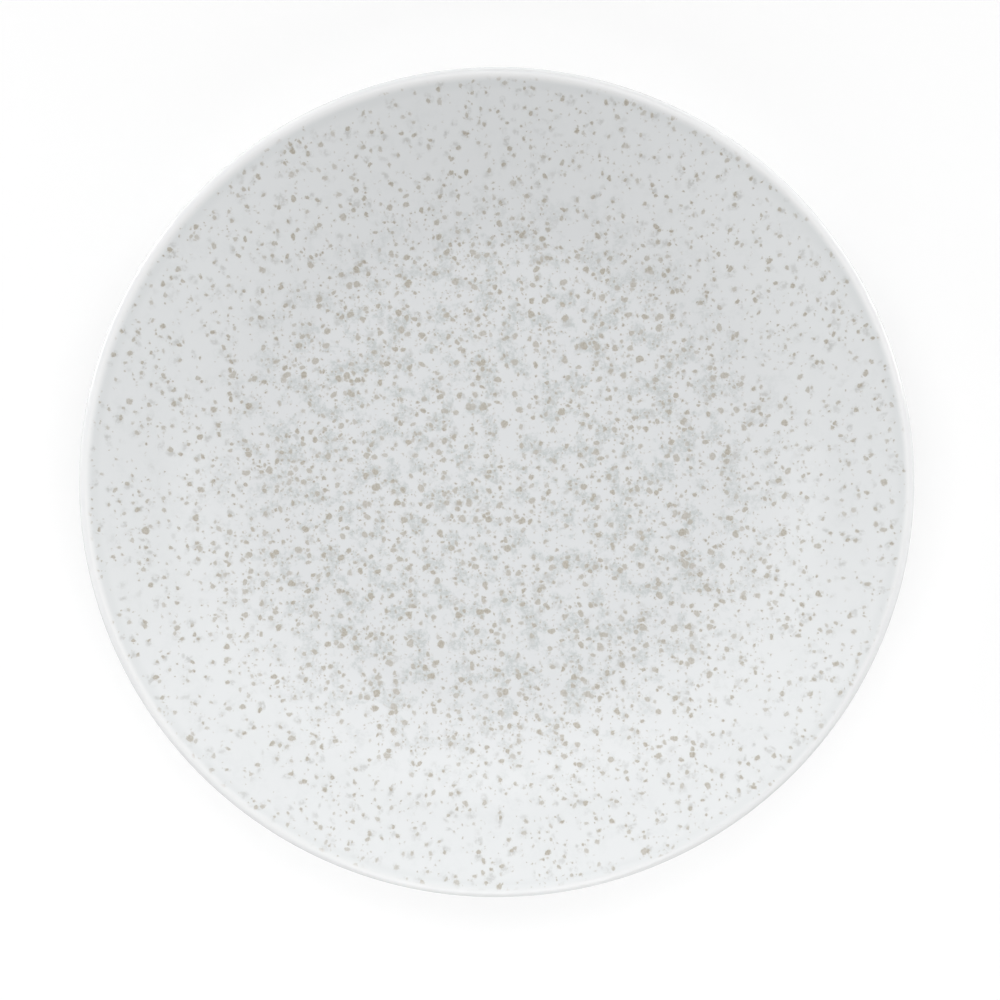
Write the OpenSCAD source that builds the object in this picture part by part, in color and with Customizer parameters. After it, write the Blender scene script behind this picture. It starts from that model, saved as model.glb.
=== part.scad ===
// Coupe dinner plate: a rimless round plate of white glazed ceramic with a speckled face.
// It stands on its foot ring, with the table at height zero and the plate's axis along Z.
// Every piece is turned about that axis, and all of them follow one section through the plate.

/* [Plate] */
// Diameter over the lip
plate_d = 260; // [180:1:320]
// Height from the table to the top of the lip
plate_h = 25; // [22:0.5:27]

/* [Face] */
// Width of the rising side, from the edge of the plate in to the edge of the well
side_w = 60; // [58:1:80]
// How far the middle of the nearly level well lies below its edge
well_dish = 1.2; // [0.6:0.1:2]
// Radius of the cove between well and flank, as a share of the largest that leaves no flank
cove_share = 0.85; // [0.6:0.01:0.95]

/* [Lip] */
// Radius of the full round on the outside of the lip
lip_r = 1.9; // [1.5:0.1:2.3]
// Radius of the softer roll from the top of the lip down to the flank
roll_r = 5; // [3:0.5:8]

/* [Wall] */
// Thickness of the wall under the well and the cove
wall_t = 4.3; // [3.8:0.1:5.2]

/* [Foot ring] */
// How far the foot ring's outer wall stands outside the edge of the well
foot_step = 5; // [2:0.5:10]
// Width of the foot ring
foot_w = 5; // [4:0.5:8]
// Height of the hollow inside the foot ring, at its middle
foot_h = 2.6; // [2.4:0.1:3.4]
// Radius of the two edges of the foot land
foot_edge_r = 1; // [0.6:0.1:1.2]
// Radius of the fillets where the foot ring meets the underside
foot_root_r = 1.5; // [1:0.1:1.6]

/* [Glaze] */
// Thickness of the glaze
glaze_t = 0.25; // [0.15:0.05:0.4]

/* [Print] */
// Thickness of the printed film in the top of the glaze
print_t = 0.06; // [0.05:0.01:0.1]
// How far the film climbs the inner roll of the lip, as a share of the roll
climb_share = 0.95; // [0.2:0.05:0.95]

/* [Hidden] */

// Facets round the plate, and the widest gap between a curve of the section and its chords
$fn = 180;
curve_gap = 0.004;

// A point of the section is [distance from the axis, height]. Depth is how far under the glazed
// surface an outline runs, so each layer is the space between two depths of one section.

// The well is a cap of a large sphere
well_r = plate_d / 2 - side_w;
dish_r = (well_r * well_r + well_dish * well_dish) / (2 * well_dish);
dish_c = [0, foot_h + wall_t + dish_r];
well_slope = asin(well_r / dish_r);
well_edge = dish_c + dish_r * heading(well_slope - 90);

// The lip's full round and its inner roll share the crest
crest_x = plate_d / 2 - lip_r;
lip_c = [crest_x, plate_h - lip_r];
roll_c = [crest_x, plate_h - roll_r];

// The cove carries on from the well's edge, and the largest one would touch the roll of the lip
side = roll_c - well_edge;
square_to_well = heading(well_slope + 90);
largest_cove_r = (side * side - roll_r * roll_r) / (2 * (roll_r + side * square_to_well));
cove_r = cove_share * largest_cove_r;
cove_c = well_edge + cove_r * square_to_well;

// The flank is the straight line that touches both the cove and the roll
flank_slope = bearing(cove_c - roll_c) - 90 - acos((cove_r + roll_r) / norm(cove_c - roll_c));

// The film ends at this angle of the roll, where the crest is at 90
print_end = 90 + (1 - climb_share) * flank_slope;

// The underside keeps the wall's thickness as far as the cove, then runs straight to the lip
under_r = cove_r + wall_t;
under_slope = bearing(lip_c - cove_c) + 90 - acos((under_r - lip_r) / norm(lip_c - cove_c));
ceiling_r = dish_r + wall_t;

// The foot ring stands on the underside, with a fillet on either side of it
foot_out = well_r + foot_step;
foot_in = foot_out - foot_w;
root_out = point_below(foot_out + foot_root_r, cove_c, under_r + foot_root_r);
root_in = point_below(foot_in - foot_root_r, dish_c, ceiling_r + foot_root_r);

// The glaze is wiped off the land and thins out on the straight of the ring's two walls
wipe_shares = [0.3, 0.7];
wall_top = min(root_in.y, root_out.y);
wipe_from = foot_edge_r + wipe_shares[0] * (wall_top - foot_edge_r);
wipe_to = foot_edge_r + wipe_shares[1] * (wall_top - foot_edge_r);

// A step of length one along an angle, and the angle of a step
function heading(a) = [cos(a), sin(a)];
function bearing(v) = atan2(v.y, v.x);

// The low point at distance x from the axis on the circle with centre c and radius r
function point_below(x, c, r) = [x, c.y - sqrt(r * r - (x - c.x) * (x - c.x))];

// An arc with centre c and radius r from angle a0 to a1, in chords that stay within curve_gap
function arc(c, r, a0, a1) =
    let (chords = ceil(abs(a1 - a0) / (2 * acos(1 - curve_gap / r))))
    [for (i = [0:chords]) c + r * heading(a0 + (a1 - a0) * i / chords)];

function backwards(points) = [for (i = [len(points) - 1:-1:0]) points[i]];

// The face, from the axis over the well, the cove and the flank, and up the roll to the film's end
function face_line(depth) = concat(
    arc(dish_c, dish_r + depth, -90, well_slope - 90),
    arc(cove_c, cove_r + depth, well_slope - 90, flank_slope - 90),
    arc(roll_c, roll_r - depth, flank_slope + 90, print_end)
);

// The lip, from the film's end over the crest and round to the underside
function lip_line(depth) = concat(
    arc(roll_c, roll_r - depth, print_end, 90),
    arc(lip_c, lip_r - depth, 90, under_slope - 90)
);

// The underside, from the lip in to the foot ring and down the fillet to its outer wall
function under_line(depth) =
    let (root_a = bearing(root_out - cove_c))
    concat(
        arc(cove_c, under_r - depth, under_slope - 90, root_a),
        arc(root_out, foot_root_r + depth, root_a + 180, 180)
    );

// The land of the foot ring with its rounded edges, from the outer wall to the inner one
function land_line(depth) = concat(
    arc([foot_out - depth - foot_edge_r, foot_edge_r], foot_edge_r, 0, -90),
    arc([foot_in + depth + foot_edge_r, foot_edge_r], foot_edge_r, -90, -180)
);

// The hollow inside the foot ring, from its inner wall up the fillet and in to the axis
function base_line(depth) =
    let (root_a = bearing(dish_c - root_in))
    concat(
        arc(root_in, foot_root_r + depth, 0, root_a),
        arc(dish_c, ceiling_r - depth, root_a - 180, -90)
    );

module turned(outline) {
    rotate_extrude() polygon(outline);
}

// The fired clay, bare only on the land of its foot ring
module body() {
    color("ivory") turned(concat(
        face_line(glaze_t),
        lip_line(glaze_t),
        under_line(glaze_t),
        land_line(glaze_t),
        base_line(glaze_t)
    ));
}

// The glaze over the face, the lip and the underside, down to the outer wall of the foot ring
module glaze_coat() {
    color("white") turned(concat(
        face_line(print_t),
        lip_line(0),
        under_line(0),
        [[foot_out, wipe_to], [foot_out - glaze_t, wipe_from]],
        backwards(under_line(glaze_t)),
        backwards(lip_line(glaze_t)),
        backwards(face_line(glaze_t))
    ));
}

// The patch of glaze inside the foot ring
module base_glaze() {
    color("whitesmoke") turned(concat(
        [[foot_in + glaze_t, wipe_from], [foot_in, wipe_to]],
        base_line(0),
        backwards(base_line(glaze_t))
    ));
}

// The film of the speckled transfer, level with the glaze that it is fired into
module speckle_print() {
    color("gainsboro") turned(concat(face_line(0), backwards(face_line(print_t))));
}

body();
glaze_coat();
base_glaze();
speckle_print();
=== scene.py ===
import cmath
from math import acos, asin, ceil, cos, pi, radians, sin, sqrt, tau

import bpy
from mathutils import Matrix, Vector


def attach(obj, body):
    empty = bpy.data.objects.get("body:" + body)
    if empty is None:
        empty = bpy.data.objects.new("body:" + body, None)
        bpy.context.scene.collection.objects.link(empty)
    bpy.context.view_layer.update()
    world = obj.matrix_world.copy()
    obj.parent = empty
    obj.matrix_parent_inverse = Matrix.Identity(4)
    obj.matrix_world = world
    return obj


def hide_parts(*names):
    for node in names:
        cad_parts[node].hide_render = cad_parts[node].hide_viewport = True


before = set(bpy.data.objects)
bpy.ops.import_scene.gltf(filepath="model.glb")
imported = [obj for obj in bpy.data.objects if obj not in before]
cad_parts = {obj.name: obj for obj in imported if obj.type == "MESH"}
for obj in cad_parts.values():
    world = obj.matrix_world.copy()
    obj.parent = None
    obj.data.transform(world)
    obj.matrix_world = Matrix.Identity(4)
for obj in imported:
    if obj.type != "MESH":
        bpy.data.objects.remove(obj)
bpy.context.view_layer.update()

# The clay body: one piece of white clay, pressed to shape with its foot ring, dried and fired.
# Glaze hides all of it but the land of the foot ring, which is wiped clean so that the plate
# doesn't stick in the kiln. Its section shapes every layer that goes on it.
plate_d = 0.260
plate_h = 0.025
side_w = 0.060
well_dish = 0.0012
cove_share = 0.85
lip_r = 0.0019
roll_r = 0.005
climb_share = 0.95
wall_t = 0.0043
foot_step = 0.005
foot_w = 0.005
foot_h = 0.0026
foot_edge_r = 0.001
foot_root_r = 0.0015
glaze_t = 0.00025
wipe_shares = (0.3, 0.7)


# A point of the section is a complex number: distance from the axis, and height times 1j
def heading(angle):
    return cmath.rect(1, angle)


def dot(v, w):
    return (v * w.conjugate()).real


def point_below(x, centre, radius):
    return complex(x, centre.imag - sqrt(radius**2 - (x - centre.real) ** 2))


well_r = plate_d / 2 - side_w
dish_r = (well_r**2 + well_dish**2) / (2 * well_dish)
dish_c = complex(0, foot_h + wall_t + dish_r)
well_slope = asin(well_r / dish_r)
well_edge = dish_c + dish_r * heading(well_slope - pi / 2)
lip_c = complex(plate_d / 2 - lip_r, plate_h - lip_r)
roll_c = complex(plate_d / 2 - lip_r, plate_h - roll_r)
side = roll_c - well_edge
square_to_well = heading(well_slope + pi / 2)
cove_r = cove_share * (dot(side, side) - roll_r**2) / (2 * (roll_r + dot(side, square_to_well)))
cove_c = well_edge + cove_r * square_to_well
flank_slope = (
    cmath.phase(cove_c - roll_c) - pi / 2 - acos((cove_r + roll_r) / abs(cove_c - roll_c))
)
print_end = pi / 2 + (1 - climb_share) * flank_slope
under_r = cove_r + wall_t
under_slope = cmath.phase(lip_c - cove_c) + pi / 2 - acos((under_r - lip_r) / abs(lip_c - cove_c))
ceiling_r = dish_r + wall_t
foot_out = well_r + foot_step
foot_in = foot_out - foot_w
root_out = point_below(foot_out + foot_root_r, cove_c, under_r + foot_root_r)
root_in = point_below(foot_in - foot_root_r, dish_c, ceiling_r + foot_root_r)
wall_top = min(root_in.imag, root_out.imag)
wipe_from, wipe_to = (foot_edge_r + share * (wall_top - foot_edge_r) for share in wipe_shares)


def arc(centre, radius, start, end, gap=0.0000015, widest=radians(5)):
    """The points of an arc, each with the way that the surface faces there."""
    chord = min(widest, 2 * acos(1 - gap / radius))
    chords = max(1, ceil(abs(end - start) / chord))
    facing = -1 if end > start else 1
    rays = [heading(start + (end - start) * i / chords) for i in range(chords + 1)]
    return [(centre + radius * ray, facing * ray) for ray in rays]


def straight(start, end):
    facing = 1j * (end - start) / abs(end - start)
    return [(start, facing), (end, facing)]


def backwards(runs):
    """The same runs from end to start, as the surface on the other side of the layer."""
    return [[(point, -facing) for point, facing in reversed(run)] for run in reversed(runs)]


# Each line gives the runs of one stretch of the section, so far under the glazed surface
def face_line(depth):
    return [
        arc(dish_c, dish_r + depth, -pi / 2, well_slope - pi / 2),
        arc(cove_c, cove_r + depth, well_slope - pi / 2, flank_slope - pi / 2),
        arc(roll_c, roll_r - depth, flank_slope + pi / 2, print_end),
    ]


def lip_line(depth):
    return [
        arc(roll_c, roll_r - depth, print_end, pi / 2),
        arc(lip_c, lip_r - depth, pi / 2, under_slope - pi / 2),
    ]


def under_line(depth):
    root = cmath.phase(root_out - cove_c)
    return [
        arc(cove_c, under_r - depth, under_slope - pi / 2, root),
        arc(root_out, foot_root_r + depth, root + pi, pi),
    ]


def land_line(depth):
    return [
        arc(complex(foot_out - depth - foot_edge_r, foot_edge_r), foot_edge_r, 0, -pi / 2),
        arc(complex(foot_in + depth + foot_edge_r, foot_edge_r), foot_edge_r, -pi / 2, -pi),
    ]


def base_line(depth):
    root = cmath.phase(dish_c - root_in)
    return [
        arc(root_in, foot_root_r + depth, 0, root),
        arc(dish_c, ceiling_r - depth, root - pi, -pi / 2),
    ]


def turned(name, runs, steps=216, near=1e-9):
    """A closed piece turned about the plate's axis. Its outline runs clockwise, as seen with the
    axis on the left, and a straight joins each run to the next one where they don't meet."""
    outline = []
    for run in [*runs, runs[0]]:
        if outline and abs(run[0][0] - outline[-1][-1][0]) > near:
            outline.append(straight(outline[-1][-1][0], run[0][0]))
        outline.append(run)
    outline.pop()

    # Each point makes a ring, and each step of the outline a band from one ring to the next
    rings, bands = [outline[0][0][0]], []
    for run in outline:
        for (_, faces_from), (point, faces_to) in zip(run, run[1:]):
            bands.append((len(rings) - 1, len(rings), faces_from, faces_to))
            rings.append(point)
    rings.pop()
    on_axis = [abs(point.real) < near for point in rings]

    turns = [(cos(tau * j / steps), sin(tau * j / steps)) for j in range(steps)]
    verts, starts = [], []
    for point, lone in zip(rings, on_axis):
        starts.append(len(verts))
        around = turns[:1] if lone else turns
        verts += [(point.real * c, point.real * s, point.imag) for c, s in around]

    faces, normals = [], []
    for a, b, faces_from, faces_to in bands:
        b %= len(rings)
        if on_axis[a] and on_axis[b]:
            continue
        for j in range(steps):
            k = (j + 1) % steps
            corners = [(a, j, faces_from), (b, j, faces_to), (b, k, faces_to), (a, k, faces_from)]
            if on_axis[a]:
                corners.pop()
            if on_axis[b]:
                corners.pop(2)
            faces.append([starts[i] + (0 if on_axis[i] else turn) for i, turn, _ in corners])
            for _, turn, facing in corners:
                c, s = turns[turn]
                normals.append((facing.real * c, facing.real * s, facing.imag))

    mesh = bpy.data.meshes.new(name)
    mesh.from_pydata(verts, [], faces)
    mesh.shade_smooth()
    mesh.normals_split_custom_set(normals)
    piece = bpy.data.objects.new(name, mesh)
    bpy.context.scene.collection.objects.link(piece)
    return piece


def feed(tree, node, feeds):
    """Sets inputs of a node to values, or links them to outputs of other nodes."""
    for name, source in feeds.items():
        if isinstance(source, bpy.types.NodeSocket):
            tree.links.new(source, node.inputs[name])
        else:
            node.inputs[name].default_value = source


def add(tree, kind, feeds=None, **settings):
    """A new shader node with its settings made and its inputs fed."""
    node = tree.nodes.new("ShaderNode" + kind)
    for name, value in settings.items():
        setattr(node, name, value)
    feed(tree, node, feeds or {})
    return node


def calc(tree, how, a, b=0.0, c=0.0):
    return add(tree, "Math", {0: a, 1: b, 2: c}, operation=how).outputs[0]


def fade(tree, value, start, end, low=0.0, high=1.0):
    """Goes smoothly from low at start to high at end."""
    feeds = {"Value": value, "From Min": start, "From Max": end, "To Min": low, "To Max": high}
    return add(tree, "MapRange", feeds, interpolation_type="SMOOTHSTEP").outputs[0]


def mixed(tree, share, under, over):
    """The colour over laid on the colour under, by its share."""
    feeds = {0: share, 6: under, 7: over}
    return add(tree, "Mix", feeds, data_type="RGBA", clamp_factor=True).outputs[2]


def cloud(tree, place, size, detail=2.0, roughness=0.5, flat=False):
    """Soft noise between 0 and 1 with lumps of the given size in mm."""
    feeds = {"Vector": place, "Scale": 1 / size, "Detail": detail, "Roughness": roughness}
    return add(tree, "TexNoise", feeds, noise_dimensions="2D" if flat else "3D")


def fresh_finish(name):
    """A new material, with the place on the plate in mm for its textures to go by."""
    finish = bpy.data.materials.new(name)
    finish.use_nodes = True
    tree = finish.node_tree
    feeds = {0: add(tree, "TexCoord").outputs["Object"], 1: (1000, 1000, 1000)}
    place = add(tree, "VectorMath", feeds, operation="MULTIPLY").outputs[0]
    return finish, tree, tree.nodes["Principled BSDF"], place


def bump(tree, height, depth_mm, under=None):
    """The normal of a relief of the given depth, on top of the relief under it."""
    feeds = {"Height": height, "Distance": depth_mm / 1000}
    if under:
        feeds["Normal"] = under
    return add(tree, "Bump", feeds).outputs[0]


clay = (0.76, 0.73, 0.665, 1)
clay_damp = (0.66, 0.625, 0.55, 1)
clay_scuff = (0.44, 0.44, 0.43, 1)
clay_rough, clay_rubbed = 0.86, 0.6
# All sizes in a finish are in mm
grog_size, stain_size, rub_size = 0.5, 9, 1.6
grog_depth = 0.04
bare_clay, tree, shader, place = fresh_finish("bare_clay")
grog = cloud(tree, place, grog_size, 3, 0.6).outputs[0]
stain = cloud(tree, place, stain_size, 3).outputs[0]
rubbed = cloud(tree, place, rub_size, 4, 0.7).outputs[0]
toned = mixed(tree, fade(tree, stain, 0.35, 0.75, 0, 0.6), clay, clay_damp)
toned = mixed(tree, fade(tree, grog, 0.62, 0.78, 0, 0.5), toned, clay_damp)
toned = mixed(tree, fade(tree, rubbed, 0.6, 0.72, 0, 0.45), toned, clay_scuff)
feed(tree, shader, {
    "Base Color": toned,
    "Roughness": fade(tree, rubbed, 0.45, 0.7, clay_rough, clay_rubbed),
    "Normal": bump(tree, grog, grog_depth),
})
fired_body = turned("fired_body", [
    *face_line(glaze_t),
    *lip_line(glaze_t),
    *under_line(glaze_t),
    *land_line(glaze_t),
    *base_line(glaze_t),
])
fired_body.data.materials.append(bare_clay)
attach(fired_body, "root")
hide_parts("body")

# The glaze coat: white glass, a quarter of a millimetre thick, sprayed on and melted in the second
# firing, which leaves it faintly rippled. It ends on the outer wall of the foot ring, thin where
# it was wiped, and the grey of the print on the face runs out softly into the white of its lip.
print_t = 0.00006
print_ground_edge = (0.768, 0.784, 0.791, 1)
glaze_white = (0.895, 0.900, 0.902, 1)
glaze_deep = (0.872, 0.881, 0.887, 1)
glaze_thin = (0.81, 0.785, 0.72, 1)
glaze_ior = 1.52
glossiest, dullest = 0.10, 0.15
print_r, print_edge = 127.0, 1.0
print_off = (-0.25, 0.84, 0)
ripple_size, ripple_depth = 7, 0.02
polish_size, pool_size, wave_size = 18, 26, 5
thins_from, thinnest_at = 3.0, 2.1
pit_apart, pit_most, pit_depth = 9, 0.28, 0.05


def glazed(tree, place):
    """The ripple and the polish that the melted glaze has all over: a normal and a roughness."""
    ripple = cloud(tree, place, ripple_size, 2, 0.4).outputs[0]
    polish = cloud(tree, place, polish_size, 3).outputs[0]
    return bump(tree, ripple, ripple_depth), fade(tree, polish, 0.3, 0.7, glossiest, dullest)


def from_middle(tree, place):
    return add(tree, "VectorMath", {0: place}, operation="LENGTH").outputs["Value"]


def print_sheet(tree, place):
    """The place on the flat sheet of the print, how far that is from the sheet's middle, and how
    much of the print's grey is there."""
    feeds = {0: place, 1: (1, 1, 0), 2: print_off}
    sheet = add(tree, "VectorMath", feeds, operation="MULTIPLY_ADD").outputs[0]
    outward = from_middle(tree, sheet)
    return sheet, outward, fade(tree, outward, print_r + print_edge, print_r - print_edge)


white_glaze, tree, shader, place = fresh_finish("white_glaze")
rippled, polished = glazed(tree, place)
height = add(tree, "SeparateXYZ", {0: place}).outputs[2]
pooled = fade(tree, cloud(tree, place, pool_size, 3).outputs[0], 0.35, 0.65)
wave = calc(tree, "MULTIPLY", cloud(tree, place, wave_size).outputs[0], 0.5)
thinned = fade(tree, calc(tree, "ADD", height, wave), thins_from, thinnest_at, 0, 0.8)
toned = mixed(tree, pooled, glaze_white, glaze_deep)
toned = mixed(tree, thinned, toned, glaze_thin)
facing_up = add(tree, "SeparateXYZ", {0: add(tree, "TexCoord").outputs["Normal"]}).outputs[2]
on_face = calc(tree, "GREATER_THAN", facing_up, 0.0)
runs_out = calc(tree, "MULTIPLY", print_sheet(tree, place)[2], on_face)
toned = mixed(tree, runs_out, toned, print_ground_edge)
feeds = {"Vector": place, "Scale": 1 / pit_apart}
pits = add(tree, "TexVoronoi", feeds, voronoi_dimensions="3D").outputs
pit_own = add(tree, "SeparateColor", {0: pits["Color"]}).outputs[0]
pit_r = fade(tree, pit_own, 0.75, 1, 0, pit_most)
pit = fade(tree, calc(tree, "MULTIPLY", pits["Distance"], pit_apart), pit_r, 0.0)
pitted = bump(tree, calc(tree, "SUBTRACT", 1.0, pit), pit_depth, rippled)
feed(tree, shader, {
    "Base Color": toned,
    "Roughness": polished,
    "IOR": glaze_ior,
    "Normal": pitted,
})
glaze_skin = turned("glaze_skin", [
    *face_line(print_t),
    *lip_line(0),
    *under_line(0),
    straight(complex(foot_out, wipe_to), complex(foot_out - glaze_t, wipe_from)),
    *backwards(face_line(glaze_t) + lip_line(glaze_t) + under_line(glaze_t)),
])
glaze_skin.data.materials.append(white_glaze)
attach(glaze_skin, "root")
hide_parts("glaze_coat")

# The base glaze: the same white glaze inside the foot ring, cut off from the rest of it by the
# bare land. It thins out in the same way down the ring's inner wall.
base_patch = turned("base_patch", [
    straight(complex(foot_in + glaze_t, wipe_from), complex(foot_in, wipe_to)),
    *base_line(0),
    *backwards(base_line(glaze_t)),
])
base_patch.data.materials.append(white_glaze)
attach(base_patch, "root")
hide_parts("base_glaze")

# The speckled print: a transfer of taupe specks, dust and cool grey haze on a pale grey ground,
# laid on the glaze by hand and fired into it. It is a little off centre, so the white lip that
# it leaves is wider on one side. The specks are denser and larger in the middle.
print_ground = (0.740, 0.755, 0.766, 1)
haze_grey = (0.568, 0.597, 0.596, 1)
smudge_grey = (0.560, 0.566, 0.557, 1)
speck_taupe = (0.408, 0.372, 0.308, 1)
speck_pale = (0.502, 0.471, 0.415, 1)
haze_r, clear_r, pale_r = 60, 104, 110
dense_r, sparse_r, rim_spread = 70, 108, 0.7
shared_shift, shared_cell = (57, 23, 0), 4.8
rim_grey_from, rim_grey_to, rim_grey = print_r - 4, print_r - 1.5, 0.16
crowd_size, patch_size, mottle_size, blotch_size = 14, 7, 1.2, 1.4
shake_size, shake_by = 2.4, 1.1
smear_size, smear_by = 18, 8
ragged_size, ragged_by = 0.55, 0.6
grain_size = 0.6
print_dulls, pigment_dulls = 0.05, 0.08


def wandering(tree, place, size, reach):
    """The place moved about by soft noise of the given size, by a share of reach in mm."""
    feeds = {0: cloud(tree, place, size, 0, flat=True).outputs["Color"], 1: (0.5, 0.5, 0.5)}
    shift = add(tree, "VectorMath", feeds, operation="SUBTRACT").outputs[0]
    feeds = {0: shift, 1: (reach, reach, 0), 2: place}
    return add(tree, "VectorMath", feeds, operation="MULTIPLY_ADD").outputs[0]


def specks(tree, place, ragged, shift, cell, filled, least, most, thinning):
    """A scatter of specks, at most one to a cell, with radii in mm from least to most. Gives how
    far inside the edge of a speck each place is, and a number that differs from speck to speck."""
    spot = add(tree, "VectorMath", {0: place, 1: shift}, operation="ADD").outputs[0]
    feeds = {"Vector": spot, "Scale": 1 / cell}
    cells = add(tree, "TexVoronoi", feeds, voronoi_dimensions="2D").outputs
    own = add(tree, "SeparateColor", {0: cells["Color"]}).outputs
    feeds = {0: cells["Position"], 1: shift}
    middle = add(tree, "VectorMath", feeds, operation="SUBTRACT").outputs[0]
    outward = from_middle(tree, middle)
    crowd = cloud(tree, middle, crowd_size, 2, 0.5, flat=True).outputs[0]
    crowd = fade(tree, crowd, 0.36, 0.64, 0.65 * filled, 1.35 * filled)
    chance = calc(tree, "MULTIPLY", crowd, fade(tree, outward, dense_r, sparse_r, 1, thinning))
    there = calc(tree, "LESS_THAN", own[0], chance)
    spread = fade(tree, outward, dense_r, sparse_r, most - least, rim_spread * (most - least))
    radius = calc(tree, "MULTIPLY_ADD", calc(tree, "POWER", own[1], 1.3), spread, least)
    away = calc(tree, "MULTIPLY_ADD", cells["Distance"], cell, ragged)

    # A cell that has no speck is a whole cell further outside
    further = calc(tree, "SUBTRACT", calc(tree, "SUBTRACT", radius, away), cell)
    return calc(tree, "MULTIPLY_ADD", there, cell, further), own[2]


speckled_glaze, tree, shader, place = fresh_finish("speckled_glaze")
rippled, polished = glazed(tree, place)
sheet, outward, printed = print_sheet(tree, place)
shaken = wandering(tree, sheet, shake_size, shake_by)
ragged = cloud(tree, sheet, ragged_size, 2, 0.6, flat=True).outputs[0]
ragged = calc(tree, "MULTIPLY_ADD", ragged, ragged_by, -ragged_by / 2)
grains = cloud(tree, sheet, grain_size, 2, 0.6, flat=True).outputs[0]

# The pale ground, with patches of haze that clear towards the rim, and a band that goes greyer
# just inside the print's edge
patches = fade(tree, cloud(tree, sheet, patch_size, 4, 0.6, flat=True).outputs[0], 0.47, 0.63)
mottle = cloud(tree, sheet, mottle_size, 3, 0.65, flat=True).outputs[0]
greyed = calc(tree, "MULTIPLY", patches, fade(tree, outward, haze_r, clear_r, 1, 0.1))
greyed = calc(tree, "MULTIPLY", greyed, fade(tree, mottle, 0.34, 0.62, 0.3, 1))
# A band just inside the print's edge that goes greyer towards it, in the haze's grey, the same all
# round
rim_line = fade(tree, outward, rim_grey_from, rim_grey_to, 0, rim_grey)
greyed = calc(tree, "MAXIMUM", greyed, rim_line)
ground = mixed(tree, fade(tree, outward, haze_r, pale_r), print_ground, print_ground_edge)
toned = mixed(tree, greyed, ground, haze_grey)

# Grey smudges beside the specks of the second layer, whose cells they share
beside = wandering(tree, shaken, smear_size, smear_by)
smudges, own = specks(tree, beside, ragged, shared_shift, shared_cell, 0.66, 0.75, 1.75, 1.5)
blotched = cloud(tree, sheet, blotch_size, 2, 0.55, flat=True).outputs[0]
blotched = fade(tree, blotched, 0.36, 0.6, 0.2)
smudges = calc(tree, "MULTIPLY", fade(tree, smudges, -0.6, 0.8), blotched)
smudges = calc(tree, "MULTIPLY", smudges, fade(tree, own, 0, 1, 0.2, 0.9))
toned = mixed(tree, smudges, toned, smudge_grey)

# Four sizes of taupe specks with a fringe of dust, each with its own shift of the cells. Only the
# second is as dense at the rim as in the middle.
dust = fade(tree, grains, 0.5, 0.62, 0, 0.38)
cover = 0.0
for shift, cell, filled, least, most, thinning, palest in (
    ((0, 0, 0), 5.0, 0.74, 0.56, 1.12, 0.16, 0.75),
    (shared_shift, shared_cell, 0.70, 0.45, 0.86, 1.05, 0.6),
    ((11, 83, 0), 2.4, 0.46, 0.20, 0.44, 0.30, 0.5),
    ((71, 41, 0), 1.4, 0.36, 0.10, 0.20, 0.35, 0.4),
):
    depth, own = specks(tree, shaken, ragged, shift, cell, filled, least, most, thinning)
    strength = fade(tree, own, 0, 1, palest, 1)
    scatter = calc(tree, "MULTIPLY", fade(tree, depth, -0.2, 0.2), strength)
    fringe = calc(tree, "MULTIPLY", fade(tree, depth, -0.65, 0), dust)
    cover = calc(tree, "MAXIMUM", cover, calc(tree, "MAXIMUM", scatter, fringe))
pigment = mixed(tree, fade(tree, grains, 0.35, 0.65), speck_taupe, speck_pale)
toned = mixed(tree, cover, toned, pigment)
toned = mixed(tree, printed, glaze_white, toned)
cover = calc(tree, "MULTIPLY", cover, printed)
dulled = calc(tree, "MULTIPLY_ADD", cover, pigment_dulls, polished)
dulled = calc(tree, "MULTIPLY_ADD", printed, print_dulls, dulled)
feed(tree, shader, {
    "Base Color": toned,
    "Roughness": dulled,
    "IOR": glaze_ior,
    "Normal": rippled,
})
printed_film = turned("printed_film", face_line(0) + backwards(face_line(print_t)))
printed_film.data.materials.append(speckled_glaze)
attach(printed_film, "root")
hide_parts("speckle_print")

# The table: a plain white top that the plate stands on. It is only a stage for the picture.
# An opening under the foot ring, and a back that lets the view through, show the plate's base.
table_radii = (0.0715, 0.3, 1.6)
table_steps = 96
table_white = (0.55, 0.55, 0.55, 1)
table_lift, lift_from, lift_to = 0.5, 220, 600


def seen_or_mirrored(tree):
    """The kinds of rays, and 1 for those of the camera and the gloss but 0 for those of light."""
    rays = add(tree, "LightPath").outputs
    mirrored = calc(tree, "MAXIMUM", rays["Is Glossy Ray"], rays["Is Transmission Ray"])
    return rays, calc(tree, "MAXIMUM", rays["Is Camera Ray"], mirrored)


turns = [(cos(tau * j / table_steps), sin(tau * j / table_steps)) for j in range(table_steps)]
verts = [(r * c, r * s, 0) for r in table_radii for c, s in turns]
faces = []
for inner in range(0, len(verts) - table_steps, table_steps):
    outer = inner + table_steps
    for j in range(table_steps):
        k = (j + 1) % table_steps
        faces.append((inner + j, outer + j, outer + k, inner + k))
mesh = bpy.data.meshes.new("table")
mesh.from_pydata(verts, [], faces)
table = bpy.data.objects.new("table", mesh)
bpy.context.scene.collection.objects.link(table)

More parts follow.
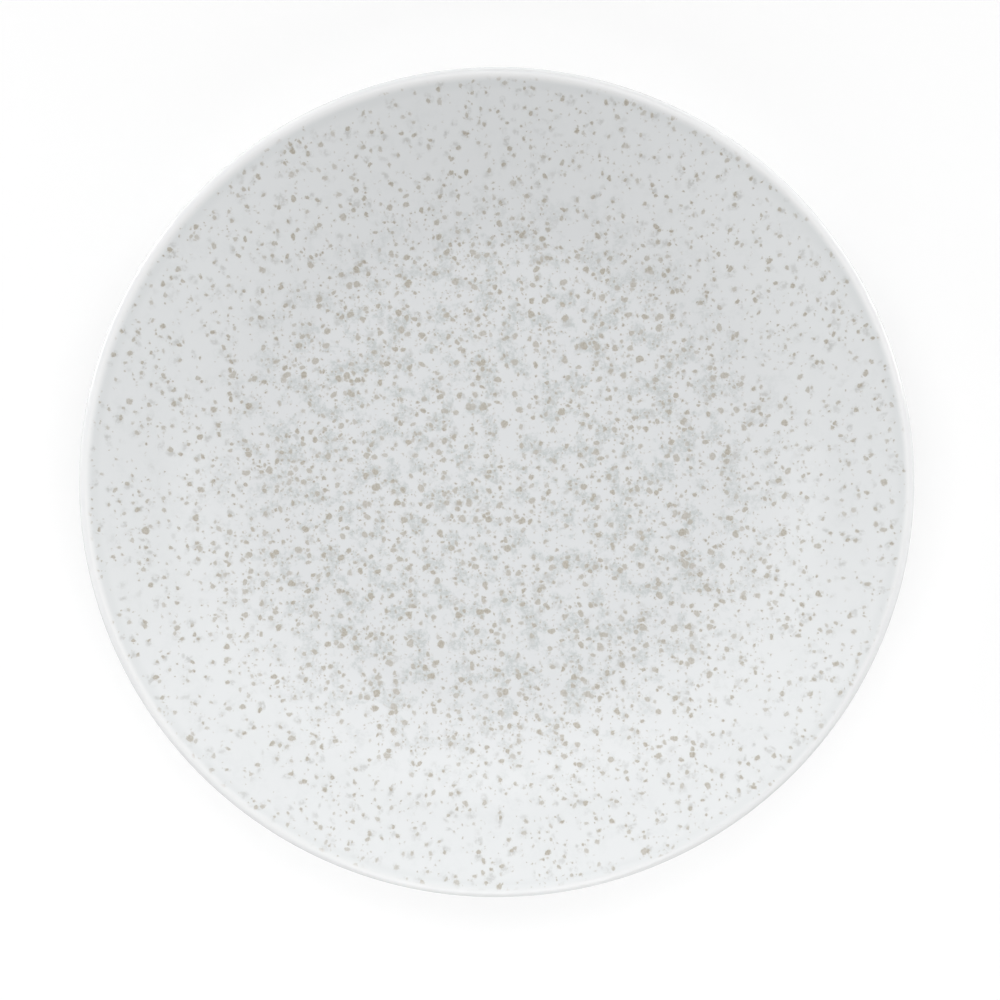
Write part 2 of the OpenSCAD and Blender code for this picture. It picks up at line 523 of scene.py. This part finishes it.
# To the eye it glows up to plain white with the distance, and its back isn't there. It throws no
# shade, so that the lamp under it reaches the base.
white_top, tree, shader, place = fresh_finish("white_top")
rays, seen = seen_or_mirrored(tree)
lift = fade(tree, from_middle(tree, place), lift_from, lift_to, table_lift, 1.0)
glow = add(tree, "Emission", {"Strength": calc(tree, "MULTIPLY", lift, seen)}).outputs[0]
matt = add(tree, "BsdfDiffuse", {"Color": table_white}).outputs[0]
top = add(tree, "AddShader", {0: matt, 1: glow}).outputs[0]
back = add(tree, "NewGeometry").outputs["Backfacing"]
let_through = calc(tree, "MULTIPLY", back, rays["Is Camera Ray"])
let_through = calc(tree, "MAXIMUM", let_through, rays["Is Shadow Ray"])
nothing = add(tree, "BsdfTransparent").outputs[0]
both = add(tree, "MixShader", {0: let_through, 1: top, 2: nothing}).outputs[0]
feed(tree, tree.nodes["Material Output"], {"Surface": both})
tree.nodes.remove(shader)
table.data.materials.append(white_top)

# The studio: white walls that only the camera and the gloss of the glaze see, a wide panel
# overhead, low boxes behind and at the sides, small ones close by, and one under the table. The
# gloss mirrors them all but the one below, which would leave a bright patch on the plate's base.
on_table, on_plate, on_near_side = (0, 0, 0), (0, 0, 0.015), (0, -0.175, 0.015)
world = bpy.data.worlds.new("studio")
bpy.context.scene.world = world
world.use_nodes = True
tree = world.node_tree
_, seen = seen_or_mirrored(tree)
feed(tree, tree.nodes["Background"], {"Color": (1, 1, 1, 1), "Strength": seen})
world.cycles.sampling_method = "NONE"
for name, place, aim, wide, high, watts in (
    ("overhead_panel", (0, 0, 0.9), on_table, 1.2, 1.2, 3.5),
    ("rear_panel", (0, 0.35, 0.85), on_plate, 1.2, 0.6, 2.26),
    ("left_box", (-0.77, 0.444, 0.156), on_plate, 0.4, 0.2, 2.52),
    ("right_box", (0.77, 0.444, 0.156), on_plate, 0.4, 0.2, 2.52),
    ("rear_left_box", (-0.494, 0.705, 0.278), on_plate, 0.4, 0.4, 1.15),
    ("rear_right_box", (0.494, 0.705, 0.278), on_plate, 0.4, 0.4, 1.15),
    ("high_left_box", (-0.78, 0.364, 0.278), on_plate, 0.4, 0.4, 0.25),
    ("near_left_box", (-0.329, 0, 0.135), on_plate, 0.2, 0.2, 0.09),
    ("near_right_box", (0.329, 0, 0.135), on_plate, 0.2, 0.2, 0.08),
    ("front_left_box", (-0.235, -0.235, 0.135), on_plate, 0.2, 0.2, 0.07),
    ("front_right_box", (0.235, -0.235, 0.135), on_plate, 0.2, 0.2, 0.07),
    ("front_box", (0, -0.35, 0.25), on_near_side, 0.3, 0.3, 0.6),
    ("box_below", (0, 0, -0.6), on_table, 0.5, 0.5, 2.1),
):
    lamp = bpy.data.lights.new(name, "AREA")
    lamp.shape, lamp.size, lamp.size_y, lamp.energy = "RECTANGLE", wide, high, watts
    box = bpy.data.objects.new(name, lamp)
    bpy.context.scene.collection.objects.link(box)
    box.location = place
    box.rotation_mode = "QUATERNION"
    box.rotation_quaternion = (Vector(place) - Vector(aim)).to_track_quat("Z", "Y")
    box.visible_camera = False
    box.visible_glossy = name != "box_below"

# The camera: nearly straight above the plate, a little to the front, with a long lens that keeps
# the outline round and hides the underside, as in the photo.
view_rise = radians(83.854)
view_distance = 1.03675
lens_mm = 120
aim = Vector((0.00105, -0.00733, 0.0231))
lens = bpy.data.cameras.new("camera")
lens.lens = lens_mm
camera = bpy.data.objects.new("camera", lens)
bpy.context.scene.collection.objects.link(camera)
toward = Vector((0, -cos(view_rise), sin(view_rise)))
camera.location = aim + toward * view_distance
camera.rotation_mode = "QUATERNION"
camera.rotation_quaternion = toward.to_track_quat("Z", "Y")
bpy.context.scene.camera = camera
bpy.context.scene.view_settings.view_transform = "Standard"
